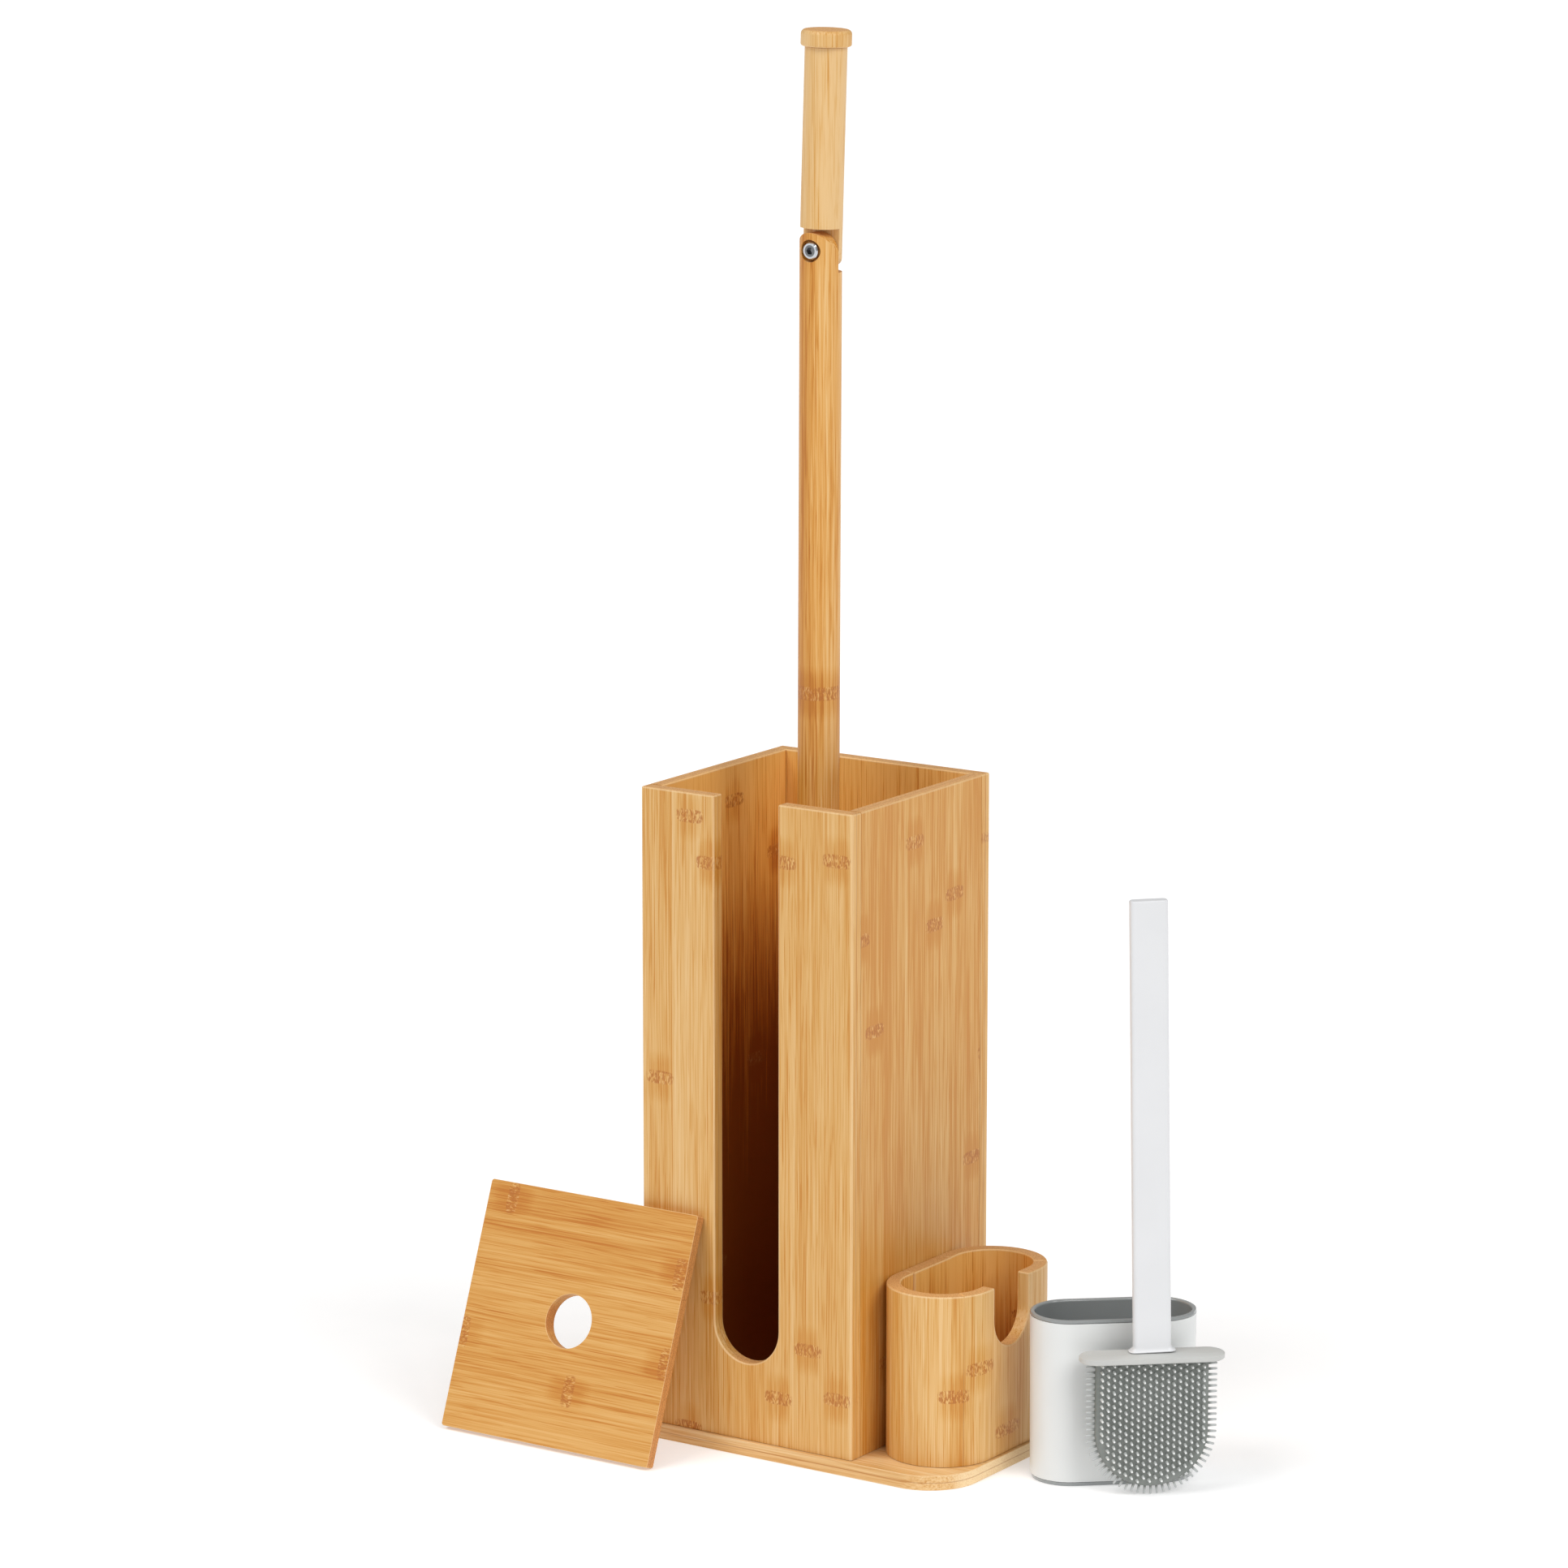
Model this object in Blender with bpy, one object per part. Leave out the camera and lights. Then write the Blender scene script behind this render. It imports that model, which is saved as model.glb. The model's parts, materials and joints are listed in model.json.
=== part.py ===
"""Bamboo bathroom stand: a roll tower with a pole and a folding arm, a brush cup, and the
loose lid, plastic insert and silicone brush that belong to it.

Metres, +Z up. The origin is the middle of the base plate's underside. The slotted face of
the tower looks along -Y and the brush cup is on the +X side.
"""

from math import asin, cos, pi, radians, sin

import bmesh
import bpy
from mathutils import Matrix, Vector

# Driving dimensions -------------------------------------------------------------------

GAP = 0.0003                # air left between two pieces that touch
BORE_ROOM = 0.00035         # air left round a pin in its hole
BOARD = 0.009               # thickness of every bamboo board

BASE_LENGTH = 0.2215        # along X
BASE_DEPTH = 0.156          # along Y
BASE_CUP_CORNER = 0.0325    # corner radius at the cup end
BASE_TOWER_CORNER = 0.004   # corner radius at the tower end
BASE_MARGIN = 0.003         # base showing beyond the tower

TOWER_WIDTH = 0.150
TOWER_TOP = 0.400
TOWER_X = BASE_MARGIN + TOWER_WIDTH / 2 - BASE_LENGTH / 2
SLOT_RADIUS = 0.0228
SLOT_ARC_Z = 0.0796         # centre of the slot's round bottom

POLE_RADIUS = 0.0125
PIVOT_Z = 0.717
SHOULDER = 0.013            # pivot to either shoulder of the half lap
TONGUE_REACH = 0.0106       # pivot to the round end of a tongue
LAP_CLEARANCE = 0.00015     # each tongue stays this far from the lap plane
ARM_TOP = 0.8355
POLE_LEAN = radians(0.22)   # the pole stands a hair out of plumb
ARM_LEAN = radians(1.5)     # the arm rests a little over from the pole
CAP_RADIUS = 0.0150
CAP_HEIGHT = 0.0098
DOWEL_RADIUS = 0.004
DOWEL_HALF = 0.0075

BOLT_RADIUS = 0.0029
BOLT_HEAD_RADIUS = 0.0052
COUNTERBORE_RADIUS = 0.0067
COUNTERBORE_FLOOR = 0.0072  # lap plane to the floor of either counterbore
BOLT_FACE = 0.0118          # lap plane to the bolt head's face
SLEEVE_RADIUS = 0.0041
WASHER_RADIUS = 0.0062
WASHER_THICKNESS = 0.0008
NUT_FACE = 0.0106
SOCKET_RADIUS = 0.0023      # hexagon sockets, across corners

CUP_WALL = 0.0085
CUP_WIDTH = 0.066           # outside, along X
CUP_LENGTH = 0.122          # outside, along Y
CUP_TOP = 0.1134
CUP_X = TOWER_X + TOWER_WIDTH / 2 + GAP + CUP_WIDTH / 2
CUP_INNER_SEAM_Y = 0.0206   # where the flat inner wall meets the curved ends
CUP_OUTER_SEAM = radians(34.4)
NOTCH_Y = -0.0025
NOTCH_RADIUS = 0.0192
NOTCH_ARC_Z = 0.0935

SCREW_RADIUS = 0.002
SCREW_HEAD_RADIUS = 0.004
SCREW_TIP_Z = 0.034
POLE_SCREW_RADIUS = 0.004
POLE_SCREW_HEAD_RADIUS = 0.0075
POLE_SCREW_TIP_Z = 0.058
SCREW_RECESS = 0.0006       # screw heads sit this far above the underside

LID_SIDE = 0.1525
LID_EDGE = 0.0065           # thickness of the lid's rebated edge
LID_LOCATOR = 0.131         # side of the step that drops into the tower
LID_HOLE_RADIUS = 0.0165
LID_LEAN = radians(20.9)
LID_LEFT_X = -0.2154

INSERT_PLACE = (0.1673, 0.0160)
INSERT_TURN = radians(40.3)
INSERT_LENGTH = 0.0990
INSERT_WIDTH = 0.0472
INSERT_TAPER = 0.0007       # the sides draw in by this much at the foot
INSERT_TOP = 0.1015
INSERT_FOOT = 0.0022
INSERT_WALL = 0.0015
LINER_WALL = 0.0012
LIP_HEIGHT = 0.0019

BRUSH_PLACE = (0.20664, -0.00535)
BRUSH_TURN = radians(41.0)
BRUSH_TOP = 0.3575
HEAD_WIDTH = 0.0780
HEAD_THICKNESS = 0.0160
HEAD_TOP = 0.0819
HEAD_POCKET_FLOOR = 0.034
FLANGE_LENGTH = 0.0863
FLANGE_WIDTH = 0.0210
FLANGE_THICKNESS = 0.0047
FLANGE_SIDE = 0.0030        # upright part of the collar's edge
HANDLE_LEAN = radians(1.1)  # the handle leans a little over the head
HANDLE_WIDTH = 0.0224
HANDLE_THICKNESS = 0.0076
HANDLE_FOOT_WIDTH = 0.0278
HANDLE_FOOT_THICKNESS = 0.0098
HANDLE_FOOT_EASE = 0.0006   # the foot's rounded lower rim
HANDLE_FLARE = 0.0030       # height of the foot's hollow flare
HANDLE_TIP_EASE = 0.0012
TENON_WIDTH = 0.014
TENON_THICKNESS = 0.0042

# Materials ----------------------------------------------------------------------------

FINISHES = {
    "bamboo_light": ((0.72, 0.47, 0.20), 0.45, 0.0),
    "bamboo_pole": ((0.62, 0.34, 0.11), 0.42, 0.0),
    "bamboo_lid": ((0.72, 0.38, 0.11), 0.45, 0.0),
    "chrome": ((0.80, 0.81, 0.83), 0.15, 1.0),
    "zinc": ((0.62, 0.62, 0.60), 0.38, 1.0),
    "white_plastic": ((0.86, 0.86, 0.87), 0.32, 0.0),
    "grey_plastic": ((0.20, 0.22, 0.22), 0.35, 0.0),
    "grey_collar": ((0.47, 0.47, 0.46), 0.45, 0.0),
    "grey_silicone": ((0.30, 0.31, 0.30), 0.50, 0.0),
}


def material(name):
    """A Principled material of that finish, made once."""
    found = bpy.data.materials.get(name)
    if found:
        return found
    colour, roughness, metallic = FINISHES[name]
    made = bpy.data.materials.new(name)
    made.use_nodes = True
    shader = made.node_tree.nodes["Principled BSDF"]
    shader.inputs["Base Color"].default_value = (*colour, 1.0)
    shader.inputs["Roughness"].default_value = roughness
    shader.inputs["Metallic"].default_value = metallic
    made.diffuse_color = (*colour, 1.0)
    return made


# Outlines, as lists of (x, y) that run anticlockwise ---------------------------------------


def arc(centre, radius, start, end, steps):
    """Points on an arc, both ends included."""
    span = end - start
    return [
        (centre[0] + radius * cos(start + span * i / steps),
         centre[1] + radius * sin(start + span * i / steps))
        for i in range(steps + 1)
    ]


def circle(radius, steps, centre=(0.0, 0.0)):
    return arc(centre, radius, 0.0, 2 * pi, steps)[:-1]


def rectangle(x0, x1, y0, y1):
    return [(x0, y0), (x1, y0), (x1, y1), (x0, y1)]


def rounded_rectangle(width, depth, radius, steps=6):
    """A centred rectangle with round corners."""
    x, y = width / 2 - radius, depth / 2 - radius
    corners = [(x, -y, -0.5), (x, y, 0.0), (-x, y, 0.5), (-x, -y, 1.0)]
    points = []
    for cx, cy, turn in corners:
        points += arc((cx, cy), radius, turn * pi, (turn + 0.5) * pi, steps)
    return points


def stadium(length, width, steps=20):
    """A centred slot shape, long along X, with full round ends."""
    reach = (length - width) / 2
    right = arc((reach, 0.0), width / 2, -pi / 2, pi / 2, steps)
    left = arc((-reach, 0.0), width / 2, pi / 2, 3 * pi / 2, steps)
    return right + left


def u_notch(centre, radius, arc_z, top):
    """An opening with parallel sides, a half-round bottom and an open top."""
    bottom = arc((centre, arc_z), radius, pi, 2 * pi, 24)
    return bottom + [(centre + radius, top), (centre - radius, top)]


# Solids ---------------------------------------------------------------------------------


def new_object(name, mesh):
    made = bpy.data.objects.new(name, mesh)
    bpy.context.scene.collection.objects.link(made)
    return made


def loft(name, rings):
    """A closed body through rings of equal point count, each a list of (x, y, z)."""
    bm = bmesh.new()
    loops = [[bm.verts.new(point) for point in ring] for ring in rings]
    bm.faces.new(list(reversed(loops[0])))
    bm.faces.new(loops[-1])
    count = len(loops[0])
    for low, high in zip(loops, loops[1:]):
        for i in range(count):
            j = (i + 1) % count
            bm.faces.new((low[i], low[j], high[j], high[i]))
    mesh = bpy.data.meshes.new(name)
    bm.to_mesh(mesh)
    bm.free()
    return new_object(name, mesh)


def prism(name, outline, z0, z1):
    """The outline drawn out along Z."""
    return loft(name, [[(x, y, z) for x, y in outline] for z in (z0, z1)])


def turned(name, profile, steps=32):
    """A round body about Z from (radius, z) pairs, lowest first."""
    return loft(name, [[(x, y, z) for x, y in circle(radius, steps)] for radius, z in profile])


def move(obj, matrix):
    """Transform an object's mesh, so that its origin stays at the world's."""
    obj.data.transform(matrix)
    return obj


def extrude_y(name, outline, y0, y1):
    """An outline in X and Z drawn out along Y."""
    rings = [[(x, y, z) for x, z in outline] for y in (y1, y0)]
    return loft(name, rings)


def extrude_x(name, outline, x0, x1):
    """An outline in Y and Z drawn out along X."""
    return loft(name, [[(x, y, z) for y, z in outline] for x in (x0, x1)])


def combine(target, tool, operation):
    """Run one exact Boolean on the target and drop the tool."""
    step = target.modifiers.new("shape", "BOOLEAN")
    step.operation = operation
    step.solver = "EXACT"
    step.object = tool
    graph = bpy.context.evaluated_depsgraph_get()
    result = bpy.data.meshes.new_from_object(target.evaluated_get(graph))
    target.modifiers.remove(step)
    old = target.data
    target.data = result
    bpy.data.meshes.remove(old)
    bpy.data.objects.remove(tool)
    return target


def cut(target, *tools):
    for tool in tools:
        combine(target, tool, "DIFFERENCE")
    return target


def join(target, *tools):
    for tool in tools:
        combine(target, tool, "UNION")
    return target


def finish(obj, finish_name, smooth_below=30):
    """Give the piece its material and smooth its round sides."""
    obj.data.materials.clear()
    obj.data.materials.append(material(finish_name))
    obj.data.shade_smooth()
    obj.data.set_sharp_from_angle(angle=radians(smooth_below))
    return obj


# Base and its screws -------------------------------------------------------------------


def base_outline():
    """Large corners at the cup end, small ones at the tower end."""
    x, y = BASE_LENGTH / 2, BASE_DEPTH / 2
    big, small = BASE_CUP_CORNER, BASE_TOWER_CORNER
    points = arc((x - big, -y + big), big, -pi / 2, 0, 16)
    points += arc((x - big, y - big), big, 0, pi / 2, 16)
    points += arc((-x + small, y - small), small, pi / 2, pi, 4)
    points += arc((-x + small, -y + small), small, pi, 3 * pi / 2, 4)
    return points


def tower_screw_places():
    """Two screws up into the front and back boards, one into each side board."""
    middle = TOWER_WIDTH / 2 - BOARD / 2
    spread = TOWER_WIDTH * 0.3
    places = [(TOWER_X + dx, y) for y in (-middle, middle) for dx in (-spread, spread)]
    return places + [(TOWER_X - middle, 0.0), (TOWER_X + middle, 0.0)]


def cup_screw_places():
    """One screw up into each of the cup's four wall pieces."""
    across = CUP_WIDTH / 2 - CUP_WALL / 2
    along = CUP_LENGTH / 2 - CUP_WALL / 2
    aside = 0.012           # clear of the screw in the tower's side board
    return [(CUP_X, -along), (CUP_X, along), (CUP_X + across, 0.0), (CUP_X - across, aside)]


def screw_profile(shank, head, tip_z, clearance):
    """A countersunk screw, head down, grown by the clearance."""
    head_z = SCREW_RECESS - clearance
    shank_z = head_z + (head - shank)
    return [
        (head + clearance, head_z),
        (head + clearance, head_z + clearance + 0.0004),
        (shank + clearance, shank_z + clearance + 0.0004),
        (shank + clearance, tip_z - shank + clearance),
        (shank * 0.4 + clearance, tip_z + clearance),
    ]


def screw_hole(place, shank, head, tip_z):
    """The room a screw takes, open to the underside."""
    profile = screw_profile(shank, head, tip_z, BORE_ROOM)
    profile.insert(0, (head + BORE_ROOM, -0.002))
    return move(turned("hole", profile, 20), Matrix.Translation((*place, 0.0)))


def small_hole(place):
    return screw_hole(place, SCREW_RADIUS, SCREW_HEAD_RADIUS, SCREW_TIP_Z)


def pole_hole():
    place = (TOWER_X, 0.0)
    return screw_hole(place, POLE_SCREW_RADIUS, POLE_SCREW_HEAD_RADIUS, POLE_SCREW_TIP_Z)


def make_screw(name, place, shank, head, tip_z):
    """A countersunk screw with a hexagon socket in its underside."""
    body = turned(name, screw_profile(shank, head, tip_z, 0.0), 20)
    socket = prism("socket", circle(head * 0.45, 6), -0.001, SCREW_RECESS + head * 0.4)
    cut(body, socket)
    move(body, Matrix.Translation((*place, 0.0)))
    return finish(body, "zinc")


def make_base():
    base = prism("base_plate", base_outline(), 0.0, BOARD)
    for place in tower_screw_places() + cup_screw_places():
        cut(base, small_hole(place))
    cut(base, pole_hole())
    return finish(base, "bamboo_light")


def make_screws():
    for i, place in enumerate(tower_screw_places(), 1):
        make_screw(f"tower_screw_{i}", place, SCREW_RADIUS, SCREW_HEAD_RADIUS, SCREW_TIP_Z)
    for i, place in enumerate(cup_screw_places(), 1):
        make_screw(f"cup_screw_{i}", place, SCREW_RADIUS, SCREW_HEAD_RADIUS, SCREW_TIP_Z)
    place = (TOWER_X, 0.0)
    make_screw("pole_screw", place, POLE_SCREW_RADIUS, POLE_SCREW_HEAD_RADIUS, POLE_SCREW_TIP_Z)


# Tower -----------------------------------------------------------------------------------


def tower_board(name, x0, x1, y0, y1):
    """One upright board of the tower, drilled for the screws under it."""
    board = prism(name, rectangle(x0, x1, y0, y1), BOARD + GAP, TOWER_TOP)
    for x, y in tower_screw_places():
        if x0 < x < x1 and y0 < y < y1:
            cut(board, small_hole((x, y)))
    return board


def make_tower():
    half = TOWER_WIDTH / 2
    inner = half - BOARD
    left, right = TOWER_X - half, TOWER_X + half
    front = tower_board("tower_front_panel", left, right, -half, -inner)
    outline = u_notch(TOWER_X, SLOT_RADIUS, SLOT_ARC_Z, TOWER_TOP + 0.01)
    cut(front, extrude_y("slot", outline, -half - 0.01, -inner + 0.01))
    back = tower_board("tower_back_panel", left, right, inner, half)
    side = inner - GAP
    left_board = tower_board("tower_left_panel", left, left + BOARD, -side, side)
    right_board = tower_board("tower_right_panel", right - BOARD, right, -side, side)
    for board in (front, back, left_board, right_board):
        finish(board, "bamboo_light")


# Brush cup --------------------------------------------------------------------------------


def cup_path(offset, start, end):
    """Points round the cup's near bend between two angles, moved out by the offset."""
    bend = CUP_WIDTH / 2
    reach = CUP_LENGTH / 2 - bend
    return arc((CUP_X, -reach), bend + offset, start, end, 30)


def cup_end_outline():
    """The curved front end: a half circle with a straight tail along the tower."""
    inner_x = CUP_X - CUP_WIDTH / 2
    stop = 2 * pi - CUP_OUTER_SEAM
    outside = cup_path(0.0, pi, stop)
    inside = cup_path(-CUP_WALL, pi, stop)
    tail = [(inner_x + CUP_WALL, -CUP_INNER_SEAM_Y), (inner_x, -CUP_INNER_SEAM_Y)]
    return outside + list(reversed(inside)) + tail


def cup_outer_outline():
    """The outer wall: a straight run that starts round both corners."""
    seam = CUP_OUTER_SEAM - GAP / (CUP_WIDTH / 2)
    bend = CUP_WIDTH / 2
    reach = CUP_LENGTH / 2 - bend
    outside = arc((CUP_X, -reach), bend, -seam, 0, 10)
    outside += arc((CUP_X, reach), bend, 0, seam, 10)
    inside = arc((CUP_X, reach), bend - CUP_WALL, seam, 0, 10)
    inside += arc((CUP_X, -reach), bend - CUP_WALL, 0, -seam, 10)
    return outside + inside


def drilled(wall, place):
    return finish(cut(wall, small_hole(place)), "bamboo_light")


def make_cup():
    z0, z1 = BOARD + GAP, CUP_TOP
    near, far, outer, inner = cup_screw_places()
    outline = cup_end_outline()
    drilled(prism("cup_front_end", outline, z0, z1), near)
    mirrored = [(x, -y) for x, y in reversed(outline)]
    drilled(prism("cup_rear_end", mirrored, z0, z1), far)
    wall = prism("cup_outer_wall", cup_outer_outline(), z0, z1)
    notch = u_notch(NOTCH_Y, NOTCH_RADIUS, NOTCH_ARC_Z, CUP_TOP + 0.01)
    middle = CUP_X + CUP_WIDTH / 2
    cut(wall, extrude_x("notch", notch, middle - 0.03, middle + 0.01))
    drilled(wall, outer)
    x0 = CUP_X - CUP_WIDTH / 2
    side = CUP_INNER_SEAM_Y - GAP
    board = rectangle(x0, x0 + CUP_WALL + 0.0005, -side, side)
    drilled(prism("cup_inner_wall", board, z0, z1), inner)


# Pole, arm and their pivot ----------------------------------------------------------------


def lap_waste(direction):
    """The half of a bar cut away beside its tongue, from the shoulder on."""
    wide = 2 * POLE_RADIUS
    lap = direction * LAP_CLEARANCE
    shoulder = PIVOT_Z - direction * SHOULDER
    far = PIVOT_Z + direction * 3 * SHOULDER
    y0, y1 = sorted((-lap, direction * wide))
    z0, z1 = sorted((shoulder, far))
    return prism("waste", rectangle(TOWER_X - wide, TOWER_X + wide, y0, y1), z0, z1)


def end_waste(direction):
    """What is taken off a tongue to give it a full round end."""
    r = POLE_RADIUS + 0.0001
    wide = 2 * POLE_RADIUS
    z = PIVOT_Z + direction * (TONGUE_REACH - r)
    far = z + direction * 3 * r
    bend = arc((TOWER_X, z), r, pi, pi - direction * pi, 32)
    outline = bend + [(TOWER_X + wide, z), (TOWER_X + wide, far),
                      (TOWER_X - wide, far), (TOWER_X - wide, z)]
    if direction < 0:
        outline.reverse()
    return extrude_y("waste", outline, -wide, wide)


def cross_hole(radius, y0, y1):
    """A hole along Y on the pivot's axis."""
    return extrude_y("hole", circle(radius, 28, (TOWER_X, PIVOT_Z)), y0, y1)


def about(x, z, angle):
    """A turn about the line along Y through (x, z)."""
    there = Matrix.Translation((x, 0.0, z))
    return there @ Matrix.Rotation(angle, 4, "Y") @ there.inverted()


def pole_pose():
    return about(TOWER_X, BOARD, POLE_LEAN)


def arm_pose():
    return pole_pose() @ about(TOWER_X, PIVOT_Z, ARM_LEAN)


def make_pole():
    """The lower bar: its front half goes on past the shoulder as a tongue."""
    outline = circle(POLE_RADIUS, 56, (TOWER_X, 0.0))
    pole = prism("pole", outline, BOARD + GAP, PIVOT_Z + SHOULDER)
    cut(pole, lap_waste(1), end_waste(1))
    cut(pole, cross_hole(BOLT_RADIUS + BORE_ROOM, -COUNTERBORE_FLOOR - 0.001, 0.001))
    cut(pole, cross_hole(COUNTERBORE_RADIUS, -0.02, -COUNTERBORE_FLOOR))
    move(pole, pole_pose())
    cut(pole, pole_hole())
    return finish(pole, "bamboo_pole")


def make_arm():
    """The folding bar: its rear half reaches down beside the pole's tongue."""
    outline = circle(POLE_RADIUS, 56, (TOWER_X, 0.0))
    arm = prism("holder_arm", outline, PIVOT_Z - SHOULDER, ARM_TOP)
    cut(arm, lap_waste(-1), end_waste(-1))
    cut(arm, cross_hole(SLEEVE_RADIUS + BORE_ROOM, -0.001, COUNTERBORE_FLOOR + 0.001))
    cut(arm, cross_hole(COUNTERBORE_RADIUS, COUNTERBORE_FLOOR, 0.02))
    socket = prism("socket", circle(DOWEL_RADIUS + BORE_ROOM, 20, (TOWER_X, 0.0)),
                   ARM_TOP - DOWEL_HALF - GAP, ARM_TOP + 0.01)
    cut(arm, socket)
    move(arm, arm_pose())
    return finish(arm, "bamboo_pole")


def make_cap():
    """A turned cap, wider than the bar, with eased rims, on a dowel."""
    bottom = ARM_TOP + GAP
    top = bottom + CAP_HEIGHT
    ease = 0.0012
    round_top = 0.0028
    profile = [(CAP_RADIUS - ease, bottom), (CAP_RADIUS - ease * 0.3, bottom + ease * 0.3),
               (CAP_RADIUS, bottom + ease)]
    for i in range(6):
        turn = i / 5 * pi / 2
        inset = round_top * (1 - cos(turn))
        profile.append((CAP_RADIUS - inset, top - round_top * (1 - sin(turn))))
    profile.append((CAP_RADIUS * 0.4, top + 0.0002))
    cap = turned("arm_cap", profile, 48)
    socket = prism("socket", circle(DOWEL_RADIUS + BORE_ROOM, 20), bottom - 0.01,
                   bottom + DOWEL_HALF + GAP)
    cut(cap, socket)
    move(cap, arm_pose() @ Matrix.Translation((TOWER_X, 0.0, 0.0)))
    finish(cap, "bamboo_lid")
    ends = 0.0006
    profile = [(DOWEL_RADIUS - ends, -DOWEL_HALF), (DOWEL_RADIUS, ends - DOWEL_HALF),
               (DOWEL_RADIUS, DOWEL_HALF - ends), (DOWEL_RADIUS - ends, DOWEL_HALF)]
    dowel = turned("cap_dowel", profile, 20)
    move(dowel, arm_pose() @ Matrix.Translation((TOWER_X, 0.0, ARM_TOP)))
    finish(dowel, "bamboo_light")


def fit_in_pivot(obj, finish_name):
    """Turn a body made along +Z to run along +Y on the pivot's axis."""
    along_y = Matrix.Rotation(-pi / 2, 4, "X")
    move(obj, pole_pose() @ Matrix.Translation((TOWER_X, 0.0, PIVOT_Z)) @ along_y)
    return finish(obj, finish_name)


def make_pivot():
    """Socket-head bolt from the front, washer and sleeve nut from the back."""
    seat = COUNTERBORE_FLOOR + GAP
    ease = 0.0007
    profile = [(BOLT_HEAD_RADIUS - ease, -BOLT_FACE), (BOLT_HEAD_RADIUS, ease - BOLT_FACE),
               (BOLT_HEAD_RADIUS, -seat), (BOLT_RADIUS, -seat),
               (BOLT_RADIUS, 0.0070), (BOLT_RADIUS - 0.0005, 0.0075)]
    bolt = turned("pivot_bolt", profile, 32)
    socket = prism("socket", circle(SOCKET_RADIUS, 6), -BOLT_FACE - 0.001, 0.0022 - BOLT_FACE)
    cut(bolt, socket)
    fit_in_pivot(bolt, "chrome")

    washer = prism("pivot_washer", circle(WASHER_RADIUS, 32), seat, seat + WASHER_THICKNESS)
    cut(washer, prism("hole", circle(SLEEVE_RADIUS + BORE_ROOM, 32), 0.0, 0.02))
    fit_in_pivot(washer, "zinc")

    flange = seat + WASHER_THICKNESS + GAP
    profile = [(SLEEVE_RADIUS, 0.0005), (SLEEVE_RADIUS, flange), (BOLT_HEAD_RADIUS, flange),
               (BOLT_HEAD_RADIUS, NUT_FACE - ease), (BOLT_HEAD_RADIUS - ease, NUT_FACE)]
    nut = turned("pivot_nut", profile, 32)
    cut(nut, prism("bore", circle(BOLT_RADIUS + BORE_ROOM, 32), -0.001, 0.0079))
    cut(nut, prism("socket", circle(SOCKET_RADIUS, 6), NUT_FACE - 0.0014, NUT_FACE + 0.001))
    fit_in_pivot(nut, "chrome")


# Lid ---------------------------------------------------------------------------------------


def lid_pose():
    """From the lid's own frame (face down, back up, near edge at y = 0) to its lean."""
    back_run = LID_SIDE * sin(LID_LEAN) + LID_EDGE * cos(LID_LEAN)
    y = -TOWER_WIDTH / 2 - GAP - back_run
    z = LID_EDGE * sin(LID_LEAN)
    place = Matrix.Translation((LID_LEFT_X + LID_SIDE / 2, y, z))
    return place @ Matrix.Rotation(pi / 2 - LID_LEAN, 4, "X")


def make_lid():
    """A square board with a rebated edge and a round hole, leant on the tower.

    Made flat with its show face on top at z = 0, then stood up.
    """
    middle = Matrix.Translation((0.0, LID_SIDE / 2, 0.0))
    lid = prism("lid_panel", rounded_rectangle(LID_SIDE, LID_SIDE, 0.0015, 2), -LID_EDGE, 0.0)
    step = prism("step", rounded_rectangle(LID_LOCATOR, LID_LOCATOR, 0.0015, 2),
                 -BOARD, -LID_EDGE / 2)
    join(lid, step)
    cut(lid, prism("hole", circle(LID_HOLE_RADIUS, 48), -0.02, 0.01))
    move(lid, lid_pose() @ middle)
    finish(lid, "bamboo_lid")


# Insert ------------------------------------------------------------------------------------


def insert_ring(inset, z):
    """The insert's outline at a height, moved in by the inset."""
    draw = INSERT_TAPER * (1 - z / INSERT_TOP)
    shrink = 2 * (inset + draw)
    return [(x, y, z) for x, y in stadium(INSERT_LENGTH - shrink, INSERT_WIDTH - shrink, 18)]


def place_insert(obj, finish_name):
    turn = Matrix.Rotation(INSERT_TURN, 4, "Z")
    move(obj, Matrix.Translation((*INSERT_PLACE, 0.0)) @ turn)
    return finish(obj, finish_name)


def make_insert():
    """White shell on a grey foot ring, with a grey liner that folds over the rim."""
    shell_top = INSERT_TOP - LIP_HEIGHT - GAP
    foot = loft("insert_foot_ring", [insert_ring(0.0008, 0.0), insert_ring(0.0002, INSERT_FOOT)])
    cut(foot, loft("hole", [insert_ring(0.004, -0.001), insert_ring(0.004, 0.01)]))
    place_insert(foot, "grey_plastic")

    shell_floor = INSERT_FOOT + GAP
    shell = loft("insert_shell", [insert_ring(0.0, shell_floor), insert_ring(0.0, shell_top)])
    cut(shell, loft("hollow", [insert_ring(INSERT_WALL, shell_floor + INSERT_WALL),
                               insert_ring(INSERT_WALL, INSERT_TOP + 0.01)]))
    place_insert(shell, "white_plastic")

    skin = INSERT_WALL + GAP
    liner_floor = shell_floor + skin
    neck = shell_top + GAP
    liner = loft("insert_liner", [
        insert_ring(skin, liner_floor), insert_ring(skin, neck), insert_ring(0.0001, neck),
        insert_ring(-0.0001, neck + 0.0005), insert_ring(0.0003, INSERT_TOP - 0.0003),
        insert_ring(0.0009, INSERT_TOP)])
    cut(liner, loft("hollow", [insert_ring(skin + LINER_WALL, liner_floor + LINER_WALL),
                               insert_ring(skin + LINER_WALL, INSERT_TOP + 0.01)]))
    place_insert(liner, "grey_plastic")


# Brush -------------------------------------------------------------------------------------


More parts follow.
